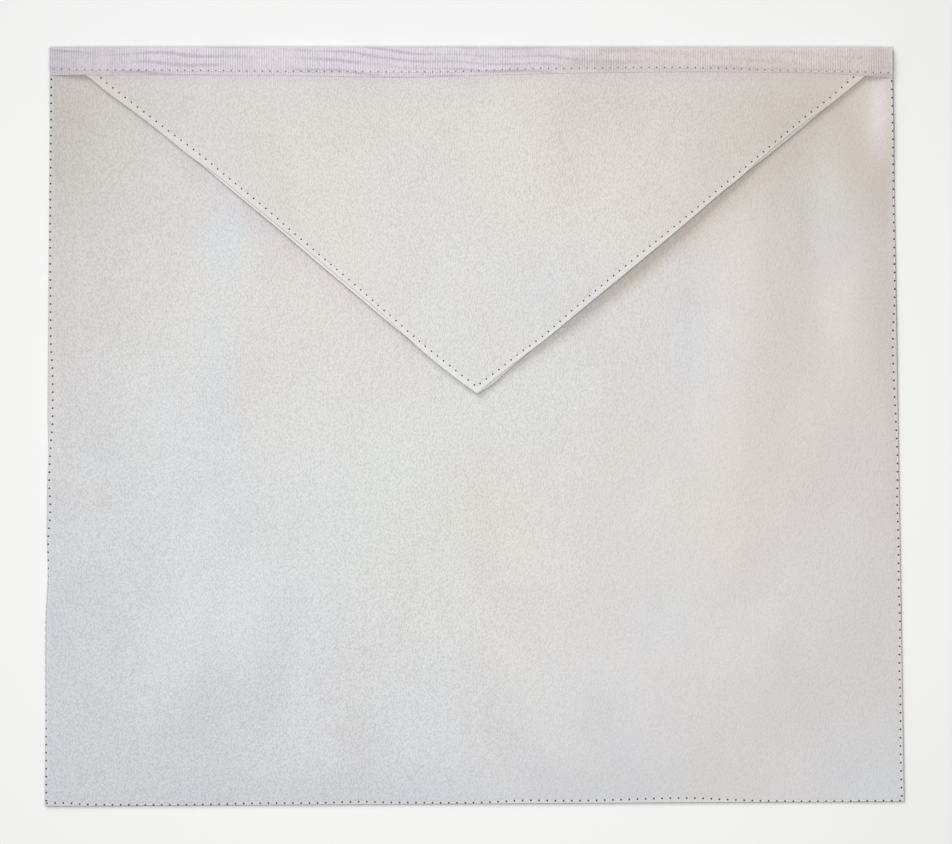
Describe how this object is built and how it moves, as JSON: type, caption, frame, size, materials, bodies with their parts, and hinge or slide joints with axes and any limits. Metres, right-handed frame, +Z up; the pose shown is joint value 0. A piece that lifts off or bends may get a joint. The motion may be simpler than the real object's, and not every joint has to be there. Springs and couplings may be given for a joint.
{
  "type": "masonic apron",
  "caption": "Flat white leather lodge apron with a two-ply triangular flap, held by a watered ribbon folded over the waist edge.",
  "frame": {"origin": "on the surface that the apron lies on, under the middle of its outline", "axes": "+X to the right as the face is read, +Y towards the waist edge, +Z up out of the face"},
  "size_m": [0.411, 0.363, 0.0066],
  "materials": {
    "leather": "satin, finely pebbled",
    "lining": "matt, suede-like flesh side",
    "ribbon": "ribbed, watered sheen"
  },
  "bodies": {
    "root": {"apron_panel": "leather", "flap_lining": "lining", "flap_face": "leather", "waist_ribbon": "ribbon"}
  },
  "joints": []
}
